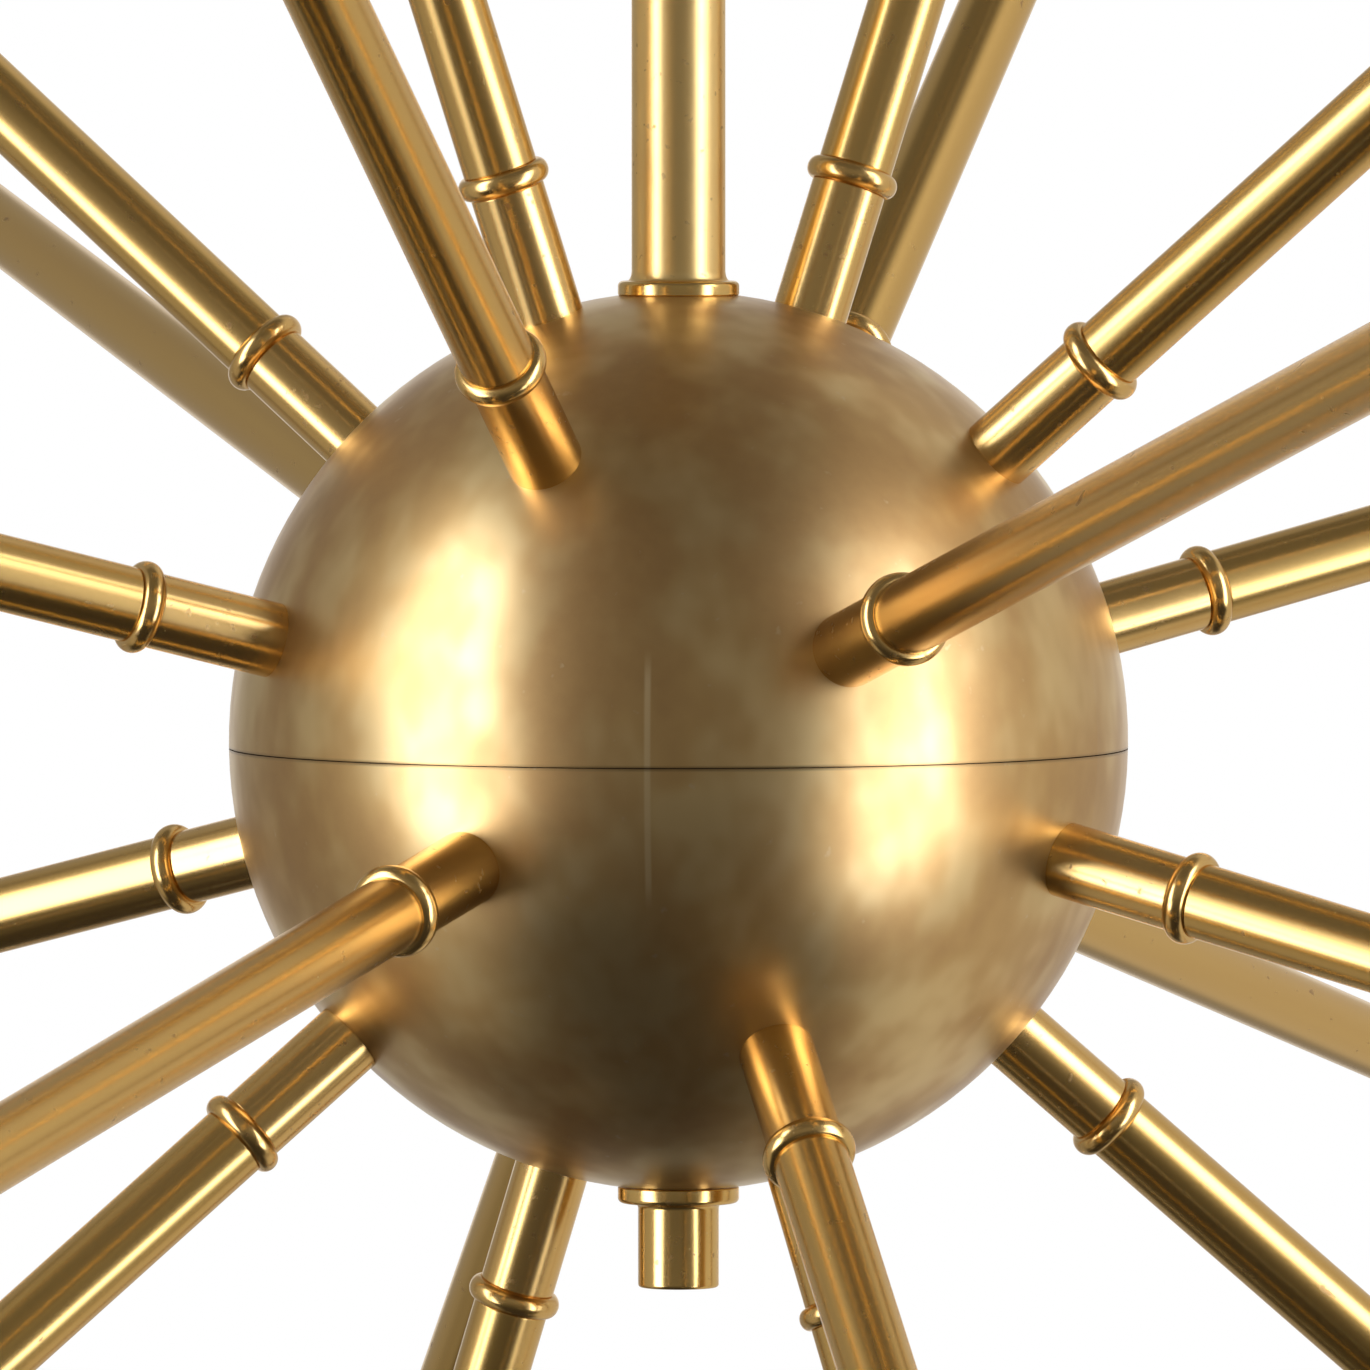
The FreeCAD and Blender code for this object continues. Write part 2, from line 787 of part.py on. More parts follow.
def collar_grub_screw():
    """Slotted grub screw, sunk a little in the collar. It stops just off the stem."""
    inner = stem_diameter / 2 + collar_play + grub_off_stem
    outer = collar_diameter / 2 - grub_sunk
    middle = Vector(0, inner, canopy_foot - collar_height / 2)
    screw = Part.makeCylinder(grub_diameter / 2, outer - inner, middle, Vector(0, 1, 0))
    corner = Vector(-grub_slot_width / 2, outer - grub_slot_depth, middle.z - grub_diameter / 2)
    slot = Part.makeBox(grub_slot_width, grub_slot_depth, grub_diameter, corner)
    return screw.cut(slot)


# ---------------------------------------------------------------- wiring inside


def junction_block():
    """Moulded block round the rod. Each ring of leads meets a face of its own, square on or nearly so."""
    lean = math.radians(arm_rings[1][0])
    band = junction_band_half_height
    top_radius = junction_radius - junction_cone_length * math.sin(lean)
    top = band + junction_cone_length * math.cos(lean)
    bore = rod_diameter / 2
    block = turned(
        (bore, -top),
        (top_radius, -top),
        (junction_radius, -band),
        (junction_radius, band),
        (top_radius, top),
        (bore, top),
    )
    pocket = rod(arm_lead_diameter + 2 * lead_pocket_play, arm_lead_start, 2 * junction_radius)
    block = block.cut([on_arm(pocket, way) for way in arm_ways()])
    supply_radius = supply_lead_diameter / 2 + lead_pocket_play
    supply_depth = supply_into_junction + supply_pocket_end_play
    return block.cut(Part.makeCylinder(supply_radius, supply_depth, Vector(0, 0, 0), Vector(0, -1, 0)))


def supply_lead():
    """Lead from the connector through the fork's window, down the stem and out of the rod's window."""
    bend = supply_bend_radius
    near = bend * (1 - math.sqrt(0.5))
    top = lead_window_z
    low = -ball_centre_below_ceiling
    start = Vector(0, lower_boss_flat + supply_into_connector, top)
    upper_in = Vector(0, bend, top)
    upper_mid = Vector(0, near, top - near)
    upper_out = Vector(0, 0, top - bend)
    lower_in = Vector(0, 0, low + bend)
    lower_mid = Vector(0, -near, low + near)
    lower_out = Vector(0, -bend, low)
    end = Vector(0, -supply_into_junction, low)
    path = Part.Wire(
        [
            Part.LineSegment(start, upper_in).toShape(),
            Part.Arc(upper_in, upper_mid, upper_out).toShape(),
            Part.LineSegment(upper_out, lower_in).toShape(),
            Part.Arc(lower_in, lower_mid, lower_out).toShape(),
            Part.LineSegment(lower_out, end).toShape(),
        ]
    )
    section = Part.Wire([Part.Circle(start, Vector(0, 1, 0), supply_lead_diameter / 2).toShape()])
    return path.makePipeShell([section], True, True)


def terminal_block():
    """Three-pole connector, with a wire bore and two screw wells for each pole."""
    middle = lead_window_z
    half_height = terminal_height / 2
    corner = Vector(-terminal_length / 2, lower_boss_flat, middle - half_height)
    body = Part.makeBox(terminal_length, terminal_depth, terminal_height, corner)
    long_edges = [edge for edge in body.Edges if abs(edge.tangentAt(edge.FirstParameter).y) > along_axis]
    body = body.makeFillet(terminal_edge_round, long_edges)
    cuts = [terminal_fixing_shank()]
    for x in terminal_pole_places():
        foot = Vector(x, lower_boss_flat + terminal_depth - terminal_bore_depth, middle)
        cuts.append(Part.makeCylinder(terminal_bore / 2, terminal_bore_depth, foot, Vector(0, 1, 0)))
    lead = supply_lead_diameter / 2 + lead_pocket_play
    lead_depth = supply_into_connector + lead_pocket_play
    cuts.append(Part.makeCylinder(lead, lead_depth, Vector(0, lower_boss_flat, middle), Vector(0, 1, 0)))
    for x, y in terminal_screw_places():
        foot = Vector(x, y, middle + half_height - terminal_well_depth)
        cuts.append(Part.makeCylinder(terminal_screw_diameter / 2, terminal_well_depth, foot))
    return body.cut(cuts)


def terminal_pole_places():
    return [(pole - (terminal_poles - 1) / 2) * terminal_pitch for pole in range(terminal_poles)]


def terminal_screw_places():
    """(x, y) of the clamping screws, in two rows over the poles."""
    return [(x, lower_boss_flat + row) for x in terminal_pole_places() for row in terminal_screw_rows]


def terminal_fixing_shank():
    """Shank of the screw that holds the connector on the fork's milled flat."""
    start = lower_boss_flat - terminal_fixing_grip
    foot = Vector(terminal_fixing_x, start, lead_window_z + terminal_fixing_up)
    length = terminal_fixing_grip + terminal_depth
    return Part.makeCylinder(terminal_fixing_diameter / 2, length, foot, Vector(0, 1, 0))


def terminal_screws():
    """Slotted clamping screws, sunk in their wells, and the fixing screw with its head outside."""
    screws = []
    roof = lead_window_z + terminal_height / 2
    radius = terminal_screw_diameter / 2
    width = terminal_slot_width
    depth = terminal_slot_depth
    for x, y in terminal_screw_places():
        foot = roof - terminal_well_depth
        top = roof - terminal_screw_sunk
        screw = Part.makeCylinder(radius, top - foot, Vector(x, y, foot))
        slot = Part.makeBox(2 * radius, width, depth, Vector(x - radius, y - width / 2, top - depth))
        screws.append(screw.cut(slot))
    seat = Vector(terminal_fixing_x, lower_boss_flat + terminal_depth, lead_window_z + terminal_fixing_up)
    head = Part.makeCylinder(terminal_fixing_head / 2, terminal_fixing_head_height, seat, Vector(0, 1, 0))
    far = seat.y + terminal_fixing_head_height
    corner = Vector(seat.x - terminal_fixing_head / 2, far - depth, seat.z - width / 2)
    head_slot = Part.makeBox(terminal_fixing_head, depth, width, corner)
    fixing = terminal_fixing_shank().fuse(head.cut(head_slot)).removeSplitter()
    return screws + [fixing]


# ---------------------------------------------------------------- everything to its file


def build():
    ways = arm_ways()

    save("ceiling_bracket", ceiling_bracket())
    save("swivel_upper_fork", upper_fork())
    save("swivel_lock_nut", swivel_lock_nut())
    save("swivel_short_pins", *swivel_short_pins())
    save("earth_screw", earth_screw())
    save("swivel_block", swivel_block())
    save("swivel_long_pin", swivel_long_pin())
    save("swivel_lower_fork", lower_fork())

    save("canopy", canopy())
    save("canopy_collar", canopy_collar())
    save("collar_grub_screw", collar_grub_screw())
    save("stem", stem())

    save("top_flange_washer", in_ball(top_washer()))
    save("ball_upper_shell", in_ball(upper_shell(ways)))
    save("ball_lower_shell", in_ball(lower_shell(ways)))
    save("centre_rod", in_ball(centre_rod()))
    save("inner_washer", in_ball(inner_washer()))
    save("rod_nut", in_ball(rod_nut()))
    save("finial_washer", in_ball(finial_washer()))
    save("finial", in_ball(finial()))

    save("terminal_block", terminal_block())
    save("terminal_screws", *terminal_screws())
    save("supply_lead", supply_lead())
    save("junction_block", in_ball(junction_block()))

    for number, way in enumerate(ways, 1):
        save("arm_tube_%02d" % number, in_ball(on_arm(arm_tube(), way)))
    on_every_arm = {
        "arm_sleeves": arm_sleeve(),
        "bead_rings": bead_ring(),
        "arm_nipples": arm_nipple(),
        "arm_lock_nuts": arm_lock_nut(),
        "arm_leads": arm_lead(),
        "lamp_cups": lamp_cup(),
        "lamp_holders": lamp_holder(),
        "bulb_caps": bulb_cap(),
        "bulbs": bulb_glass(),
    }
    for name, piece in on_every_arm.items():
        save(name, *[in_ball(on_arm(piece, way)) for way in ways])


build()
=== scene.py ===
import math

import bpy
import numpy as np
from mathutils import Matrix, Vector


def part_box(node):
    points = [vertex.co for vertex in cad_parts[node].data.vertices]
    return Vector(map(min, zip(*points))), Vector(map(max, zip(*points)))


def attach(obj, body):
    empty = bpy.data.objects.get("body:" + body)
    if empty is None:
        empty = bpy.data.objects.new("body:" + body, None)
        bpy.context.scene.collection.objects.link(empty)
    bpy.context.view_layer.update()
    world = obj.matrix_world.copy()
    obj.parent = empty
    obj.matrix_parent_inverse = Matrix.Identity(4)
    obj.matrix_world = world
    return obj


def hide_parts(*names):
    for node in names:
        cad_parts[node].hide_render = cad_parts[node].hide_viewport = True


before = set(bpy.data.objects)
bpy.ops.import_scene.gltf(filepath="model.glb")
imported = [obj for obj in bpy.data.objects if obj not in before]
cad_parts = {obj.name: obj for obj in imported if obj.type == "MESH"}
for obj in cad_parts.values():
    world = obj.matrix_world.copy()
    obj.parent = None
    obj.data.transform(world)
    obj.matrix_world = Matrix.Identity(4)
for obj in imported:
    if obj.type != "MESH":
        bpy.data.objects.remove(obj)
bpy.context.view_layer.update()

# Sputnik chandelier: a spun brass ball with twenty beaded arms on a polished stem. Metres, in the frame of
# the construction model. Sizes below are those of the real pieces, and places come from the frame.

scene = bpy.context.scene


# ---------------------------------------------------------------- sizes

ball_radius = 0.060
arm_diameter = 0.010
arm_bore = 0.008
arm_tube_length = 0.305
bead_diameter = 0.0124
bead_width = 0.003
bead_from_centre = 0.0792
passing_bore = 0.0082  # sleeve and bead ring, round the arm's threaded nipple
broken_edge = 0.00018

cup_diameter = 0.028
cup_wall = 0.001
cup_neck_edge = 0.0004
cup_mouth_edge = 0.0006
cup_neck_diameter = 0.0126
cup_neck_length = 0.007
cup_flare_length = 0.011
cup_barrel_length = 0.020
tube_into_cup = 0.016
holder_diameter = 0.025
holder_boss_diameter = 0.015
holder_boss_length = 0.008
holder_boss_on_tube = 0.005
holder_stands_out = 0.002
holder_contact_hole_radius = 0.001
socket_play = 0.0003
bulb_cap_diameter = 0.0136
bulb_cap_length = 0.017
bulb_thread_depth = 0.0004
bulb_thread_pitch = 0.0028
bulb_neck_off_holder = 0.001
bulb_neck_edge = 0.0004
bulb_neck_diameter = 0.015
bulb_diameter = 0.045
bulb_glass_length = 0.057

stem_diameter = 0.0125
stem_bore = 0.010
stem_flare_width = 0.00065
stem_flare_height = 0.0014
flange_diameter = 0.0162
flange_round = 0.0007
flange_broken_edge = 0.00015
flange_gap = 0.00006  # between the ball and the flanges' dished sides
top_flange_bore = 0.0102
finial_flange_bore = 0.0087
finial_diameter = 0.0108
finial_bore = 0.0081
finial_wall_below_thread = 0.0017
finial_edge = 0.00045
finial_flare = 0.0006

seam_below_centre = 0.00088  # middle of the gap between the half shells
seam_half_width = (0.0001, 0.0005)  # dirt is full up to the first and gone from the second
# Painted highlight: a pale line down the ball's front that stands in for a sharp reflection. Its place,
# width and ends:
highlight_line_azimuth = 18.7  # degrees from the front towards +X
highlight_line_half_width = (0.0002, 0.0006)
highlight_line_foot = (-0.020, -0.015)  # heights from the ball's centre between which it fades in
highlight_line_top = (0.010, 0.015)

facets_round = 96  # round a piece that the camera sees close by
crease = 35  # degrees between faces from which an edge is shaded as a corner


# ---------------------------------------------------------------- places, from the frame


def middle(node):
    low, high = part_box(node)
    return (Vector(low) + Vector(high)) / 2


ball_centre = middle("bulbs")
arm_count = 20
tube_nodes = ["arm_tube_%02d" % number for number in range(1, arm_count + 1)]
arm_ways = [(middle(node) - ball_centre).normalized() for node in tube_nodes]

bead_start = bead_from_centre - bead_width / 2
tube_start = bead_from_centre + bead_width / 2
tube_end = tube_start + arm_tube_length
cup_start = tube_end - tube_into_cup
cup_mouth = cup_start + cup_neck_length + cup_flare_length + cup_barrel_length
holder_start = tube_end - holder_boss_on_tube
holder_end = cup_mouth + holder_stands_out
bulb_glass_start = holder_end + bulb_neck_off_holder
bulb_cap_start = bulb_glass_start - bulb_cap_length


# ---------------------------------------------------------------- surfaces


def outline(corners, closed=True, facets=6):
    """Profile in the (radius, height) plane from corners (radius, height) or (radius, height, rounding).
    A rounded corner is an arc that touches both of its sides: it starts at rounding / tan(half the corner's
    angle) from the corner, and its centre is on the angle's bisector. Each straight side also gets a point
    near such an arc, which keeps the shading of flats and bends apart."""
    places = np.array([corner[:2] for corner in corners], dtype=float)
    count = len(places)
    points = []
    for k in range(count):
        here = places[k]
        rounding = corners[k][2] if len(corners[k]) > 2 else 0.0
        if rounding == 0.0 or (not closed and k in (0, count - 1)):
            points.append(here)
            continue
        back = places[k - 1] - here
        ahead = places[(k + 1) % count] - here
        back_length, ahead_length = np.linalg.norm(back), np.linalg.norm(ahead)
        back, ahead = back / back_length, ahead / ahead_length
        half = math.acos(np.clip(back @ ahead, -1, 1)) / 2
        reach = rounding / math.tan(half)
        bisector = (back + ahead) / np.linalg.norm(back + ahead)
        centre = here + bisector * rounding / math.sin(half)
        first, last = here + back * reach - centre, here + ahead * reach - centre
        sweep = math.pi - 2 * half
        share = np.linspace(0, 1, facets + 1)[:, None]
        arc = (np.sin((1 - share) * sweep) * first + np.sin(share * sweep) * last) / math.sin(sweep)
        support = min(0.3 * rounding, 0.2 * (back_length - reach), 0.2 * (ahead_length - reach))
        points.append(centre + first + back * support)
        points.extend(centre + arc)
        points.append(centre + last + ahead * support)
    return np.array(points)


def turned(profile, facets=facets_round, closed=True):
    """Surface of revolution. The profile's point (r, h) at the turn t goes to (r cos t, r sin t, h). A
    closed profile makes a ring. An open one starts and ends on the axis, where its ends become single
    points."""
    profile = np.asarray(profile, dtype=float)
    outer = np.roll(profile, -1, axis=0)
    if np.sum(profile[:, 0] * outer[:, 1] - outer[:, 0] * profile[:, 1]) < 0:
        profile = profile[::-1]
    rows = profile if closed else profile[1:-1]
    turn = np.linspace(0, 2 * math.pi, facets, endpoint=False)
    around = np.stack([np.cos(turn), np.sin(turn)], axis=1)
    points = np.empty((len(rows), facets, 3))
    points[:, :, :2] = rows[:, None, :1] * around[None]
    points[:, :, 2] = rows[:, None, 1]
    index = np.arange(len(rows) * facets).reshape(len(rows), facets)
    low = index if closed else index[:-1]
    high = np.roll(index, -1, axis=0) if closed else index[1:]
    beside_low, beside_high = np.roll(low, -1, axis=1), np.roll(high, -1, axis=1)
    faces = np.stack([low, beside_low, beside_high, high], axis=-1).reshape(-1, 4)
    points = points.reshape(-1, 3)
    if closed:
        return points, [faces]
    start, end = len(points), len(points) + 1
    points = np.vstack([points, [[0, 0, profile[0, 1]], [0, 0, profile[-1, 1]]]])
    first, last = index[0], index[-1]
    start_fan = np.stack([np.full(facets, start), np.roll(first, -1), first], axis=-1)
    end_fan = np.stack([np.full(facets, end), last, np.roll(last, -1)], axis=-1)
    return points, [faces, start_fan, end_fan]


def on_arms(shape, ways):
    """Copies of a shape that was made along +Z, one on each arm. A point p goes to the ball's centre plus
    p.x side + p.y across + p.z way, where side and across are square to the way. Also gives each copy's own
    coordinates, shifted along its arm by one metre per arm, so that no two arms share a pattern."""
    points, faces = shape
    copies, own, moved = [], [], []
    for number, way in enumerate(ways):
        side = way.cross(Vector((0, 0, 1))).normalized()
        across = way.cross(side)
        axes = np.array([side, across, way])
        copies.append(points @ axes + np.array(ball_centre))
        own.append(points + [0, 0, number])
        moved.append([block + number * len(points) for block in faces])
    blocks = [np.vstack(group) for group in zip(*moved)]
    return np.vstack(copies), blocks, np.vstack(own)


def piece(name, points, blocks, material, body="hanging", replaces=(), own=None):
    """Mesh object at the origin, smooth shaded, with its place in its mesh. Blocks are arrays of quads or
    triangles. The attribute 'own' holds the coordinates that the material's pattern follows."""
    mesh = bpy.data.meshes.new(name)
    sizes = np.concatenate([np.full(len(block), block.shape[1]) for block in blocks])
    corners = np.concatenate([block.ravel() for block in blocks])
    mesh.vertices.add(len(points))
    mesh.vertices.foreach_set("co", np.ascontiguousarray(points, dtype=np.float32).ravel())
    mesh.loops.add(len(corners))
    mesh.loops.foreach_set("vertex_index", corners.astype(np.int32))
    mesh.polygons.add(len(sizes))
    mesh.polygons.foreach_set("loop_start", (np.cumsum(sizes) - sizes).astype(np.int32))
    mesh.polygons.foreach_set("use_smooth", np.ones(len(sizes), dtype=bool))
    mesh.update(calc_edges=True)
    mesh.validate()
    mesh.set_sharp_from_angle(angle=math.radians(crease))
    if own is not None:
        layer = mesh.attributes.new("own", "FLOAT_VECTOR", "POINT")
        layer.data.foreach_set("vector", np.ascontiguousarray(own, dtype=np.float32).ravel())
    mesh.materials.append(material)
    made = bpy.data.objects.new(name, mesh)
    scene.collection.objects.link(made)
    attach(made, body)
    if replaces:
        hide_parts(*replaces)
    return made


# ---------------------------------------------------------------- shader expressions


class Wire:
    """An output of a node. Arithmetic on wires and numbers adds Math nodes to the same material."""

    def __init__(self, nodes, socket):
        self.nodes = nodes
        self.socket = socket

    def math(self, operation, *values):
        return self.nodes.add("Math", {"operation": operation}, dict(enumerate(values)))

    def __add__(self, other):
        return self.math("ADD", self, other)

    def __sub__(self, other):
        return self.math("SUBTRACT", self, other)

    def __mul__(self, other):
        return self.math("MULTIPLY", self, other)

    def __rsub__(self, other):
        return self.math("SUBTRACT", other, self)

    __radd__ = __add__
    __rmul__ = __mul__

    def __abs__(self):
        return self.math("ABSOLUTE", self)

    def step(self, low, high):
        """0 below low, 1 above high and a smooth rise between them."""
        settings = {"interpolation_type": "SMOOTHSTEP"}
        return self.nodes.add("MapRange", settings, {"Value": self, "From Min": low, "From Max": high})


class Nodes:
    """The nodes of one material or world."""

    def __init__(self, tree):
        self.tree = tree
        tree.nodes.clear()

    def add(self, kind, settings=None, inputs=None, out=0):
        """Any node: its settings are set first, then its sockets get values or links. Gives one output."""
        node = self.tree.nodes.new("ShaderNode" + kind)
        for name, value in (settings or {}).items():
            if name == "stops":
                self.set_stops(node.color_ramp, value)
            else:
                setattr(node, name, value)
        for name, value in (inputs or {}).items():
            if isinstance(value, Wire):
                self.tree.links.new(value.socket, node.inputs[name])
            else:
                node.inputs[name].default_value = value
        return Wire(self, node.outputs[out]) if node.outputs else None

    @staticmethod
    def set_stops(ramp, stops):
        while len(ramp.elements) < len(stops):
            ramp.elements.new(1.0)
        for element, (position, colour) in zip(ramp.elements, stops):
            element.position = position
            element.color = (*colour, 1.0)

    def blend(self, factor, first, second):
        """Colour between two colours."""
        inputs = {0: factor, 6: opaque(first), 7: opaque(second)}
        return self.add("Mix", {"data_type": "RGBA"}, inputs, out=2)

    def scaled(self, vector, by):
        return self.add("VectorMath", {"operation": "MULTIPLY"}, {0: vector, 1: by})

    def noise(self, vector, scale, detail=2.0, roughness=0.5):
        inputs = {"Vector": vector, "Scale": scale, "Detail": detail, "Roughness": roughness}
        return self.add("TexNoise", {}, inputs)

    def object_place(self, origin=(0, 0, 0)):
        place = self.add("TexCoord", out=3)
        return self.add("VectorMath", {"operation": "SUBTRACT"}, {0: place, 1: tuple(origin)})

    def own_place(self):
        return self.add("Attribute", {"attribute_name": "own"}, out=1)

    def place(self, coordinates):
        """The piece's own coordinates, for pieces that repeat on the arms, or the object's."""
        return self.own_place() if coordinates == "own" else self.object_place()

    def bump(self, height, distance, strength=1.0):
        return self.add("Bump", {}, {"Height": height, "Distance": distance, "Strength": strength})

    def dot(self, vector, way):
        return self.add("VectorMath", {"operation": "DOT_PRODUCT"}, {0: vector, 1: tuple(way)}, out=1)

    def surface(self, inputs):
        shader = self.add("BsdfPrincipled", {}, inputs)
        self.add("OutputMaterial", {}, {"Surface": shader})


def opaque(colour):
    return colour if isinstance(colour, Wire) else (*colour, 1.0)


def new_material(name):
    material = bpy.data.materials.new(name)
    material.use_nodes = True
    return material, Nodes(material.node_tree)


# ---------------------------------------------------------------- materials


def spun_brass():
    """The ball: satin brass, spun round its axis and rubbed, with brown clouds of tarnish, olive patches, a
    few pale specks, dirt in the seam and one painted highlight down the front: a pale line for a sharp
    reflection."""
    material, nodes = new_material("spun_brass")
    place = nodes.object_place(ball_centre)
    clouds = nodes.noise(nodes.scaled(place, (1.0, 1.0, 0.6)), 34.0, 2.0, 0.5)
    patches = nodes.noise(nodes.scaled(place, (1.0, 1.0, 0.7)), 95.0, 2.0, 0.5)
    dust = nodes.noise(place, 520.0, 2.0, 0.5)
    rings = nodes.noise(nodes.scaled(place, (5.0, 5.0, 2200.0)), 1.0, 3.0, 0.7)
    tarnish = (clouds * 0.6 + patches * 0.4).step(0.38, 0.62)
    specks = dust.step(0.70, 0.80)

    height = nodes.dot(place, (0, 0, 1))
    seam = (1 - abs(height + seam_below_centre).step(*seam_half_width)) * (1.1 - tarnish * 0.6)
    # Mask of the painted highlight: a pale stripe on the front half of the ball, standing in for a sharp
    # reflection.
    line_turn = math.radians(highlight_line_azimuth)
    beside = nodes.dot(place, (math.cos(line_turn), math.sin(line_turn), 0))
    facing = nodes.dot(place, (math.sin(line_turn), -math.cos(line_turn), 0)).step(0.0, 0.01)
    along = height.step(*highlight_line_foot) * (1 - height.step(*highlight_line_top))
    painted_highlight_line = (1 - abs(beside).step(*highlight_line_half_width)) * facing * along

    fresh = nodes.blend(patches.step(0.36, 0.62), (0.78, 0.57, 0.27), (0.70, 0.46, 0.19))
    brown = nodes.blend(dust, (0.53, 0.325, 0.13), (0.46, 0.275, 0.11))
    colour = nodes.blend(tarnish * 0.9, fresh, brown)
    colour = nodes.blend(specks * 0.3, colour, (0.75, 0.62, 0.40))
    # Painted highlight: the pale colour of the stripe that stands in for a sharp reflection.
    colour = nodes.blend(painted_highlight_line * 0.5, colour, (0.95, 0.76, 0.44))
    colour = nodes.blend(seam * 0.6, colour, (0.16, 0.095, 0.04))
    nodes.surface(
        {
            "Base Color": colour,
            "Metallic": 1.0,
            "Roughness": 0.33 + tarnish * 0.05 + patches * 0.05,
            "Anisotropic": 0.3,
            "Anisotropic Rotation": 0.25,
            "Coat Weight": 0.12,
            "Coat IOR": 1.5,
            "Coat Roughness": 0.2,
            "Normal": nodes.bump(rings * 0.7 + dust * 0.2, 0.000003, 0.5),
        }
    )
    return material


def drawn_brass():
    """Arm tubes: drawn brass, with fine lengthwise lines, tarnish streaks and a few small spots."""
    material, nodes = new_material("drawn_brass")
    own = nodes.own_place()
    lines = nodes.noise(nodes.scaled(own, (1500.0, 1500.0, 3.0)), 1.0, 2.0, 0.5)
    streaks = nodes.noise(nodes.scaled(own, (300.0, 300.0, 10.0)), 1.0, 1.0, 0.5)
    spots = nodes.noise(nodes.scaled(own, (1.0, 1.0, 0.6)), 420.0, 3.0, 0.6).step(0.66, 0.74)
    fresh = nodes.blend(streaks, (0.76, 0.50, 0.17), (0.68, 0.43, 0.145))
    colour = nodes.blend(spots * 0.6, fresh, (0.30, 0.17, 0.09))
    nodes.surface(
        {
            "Base Color": colour,
            "Metallic": 1.0,
            "Roughness": 0.21 + streaks * 0.08 + spots * 0.12,
            "Normal": nodes.bump(lines, 0.0000004, 0.4),
        }
    )
    return material


def bright_brass(name, coordinates, roughness, fresh, tarnished):
    """Rubbed brass with thin clouds of tarnish and small spots, for all but the ball and the arm tubes."""
    material, nodes = new_material(name)
    place = nodes.place(coordinates)
    clouds = nodes.noise(place, 160.0, 3.0, 0.5)
    spots = nodes.noise(place, 700.0, 2.0, 0.5).step(0.66, 0.74)
    colour = nodes.blend(clouds, fresh, tarnished)
    colour = nodes.blend(spots * 0.5, colour, (0.34, 0.19, 0.09))
    nodes.surface(
        {
            "Base Color": colour,
            "Metallic": 1.0,
            "Roughness": roughness + clouds * 0.08 + spots * 0.15,
            "Normal": nodes.bump(clouds, 0.000002, 0.3),
        }
    )
    return material


def plated_steel():
    """Zinc plating: grey with a faint warm bloom and a fine grain."""
    material, nodes = new_material("plated_steel")
    place = nodes.object_place()
    bloom = nodes.noise(place, 220.0, 3.0, 0.6)
    colour = nodes.blend(bloom.step(0.4, 0.65), (0.55, 0.56, 0.57), (0.60, 0.57, 0.49))
    normal = nodes.bump(nodes.noise(place, 2600.0, 2.0, 0.6), 0.00001, 0.5)
    nodes.surface(
        {"Base Color": colour, "Metallic": 1.0, "Roughness": 0.32 + bloom * 0.15, "Normal": normal}
    )
    return material


def moulded(name, colour, shade, roughness, coordinates="object"):
    """Moulded part: a nearly even colour, with a fine grain in its skin."""
    material, nodes = new_material(name)
    place = nodes.place(coordinates)
    drift = nodes.noise(place, 90.0, 3.0, 0.5)
    grain = nodes.noise(place, 3200.0, 2.0, 0.5)
    nodes.surface(
        {
            "Base Color": nodes.blend(drift, colour, shade),
            "Roughness": roughness + drift * 0.1,
            "Normal": nodes.bump(grain, 0.00002, 0.5),
        }
    )
    return material


def opal_glass():
    """Globe of an opal bulb: milky white with a soft gloss."""
    material, nodes = new_material("opal_glass")
    own = nodes.own_place()
    milk = nodes.noise(own, 60.0, 3.0, 0.5)
    nodes.surface(
        {
            "Base Color": nodes.blend(milk, (0.86, 0.85, 0.81), (0.90, 0.89, 0.86)),
            "Roughness": 0.22 + milk * 0.06,
            "Coat Weight": 0.3,
            "Coat Roughness": 0.08,
            "Normal": nodes.bump(nodes.noise(own, 70.0, 1.0, 0.5), 0.00001, 0.2),
        }
    )
    return material


def nickel_plate():
    """Screw cap of a bulb."""
    material, nodes = new_material("nickel_plate")
    own = nodes.own_place()
    bloom = nodes.noise(own, 400.0, 3.0, 0.6)
    nodes.surface(
        {
            "Base Color": nodes.blend(bloom, (0.66, 0.63, 0.58), (0.58, 0.55, 0.50)),
            "Metallic": 1.0,
            "Roughness": 0.25 + bloom * 0.12,
            "Normal": nodes.bump(nodes.noise(own, 2500.0, 2.0, 0.5), 0.00001, 0.4),
        }
    )
    return material


brass_ball = spun_brass()
brass_tube = drawn_brass()
brass_bright_arm = bright_brass("bright_brass_arm", "own", 0.19, (0.82, 0.54, 0.20), (0.74, 0.47, 0.165))
brass_bright = bright_brass("bright_brass", "object", 0.17, (0.84, 0.56, 0.20), (0.76, 0.49, 0.165))
brass_stem = bright_brass("satin_brass_stem", "object", 0.29, (0.95, 0.68, 0.28), (0.88, 0.60, 0.235))
steel = plated_steel()
black_moulding = moulded("black_moulding", (0.028, 0.027, 0.026), (0.04, 0.038, 0.036), 0.38, "own")
white_moulding = moulded("white_moulding", (0.80, 0.79, 0.74), (0.74, 0.72, 0.66), 0.45)
black_sheath = moulded("black_sheath", (0.030, 0.030, 0.030), (0.045, 0.043, 0.040), 0.5)
white_sheath = moulded("white_sheath", (0.80, 0.80, 0.76), (0.72, 0.71, 0.66), 0.5)
opal = opal_glass()
nickel = nickel_plate()


def dress(material, *nodes):
    """Gives construction pieces whose shape is right a finish."""
    for name in nodes:
        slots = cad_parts[name].material_slots
        for slot in slots:
            slot.material = material


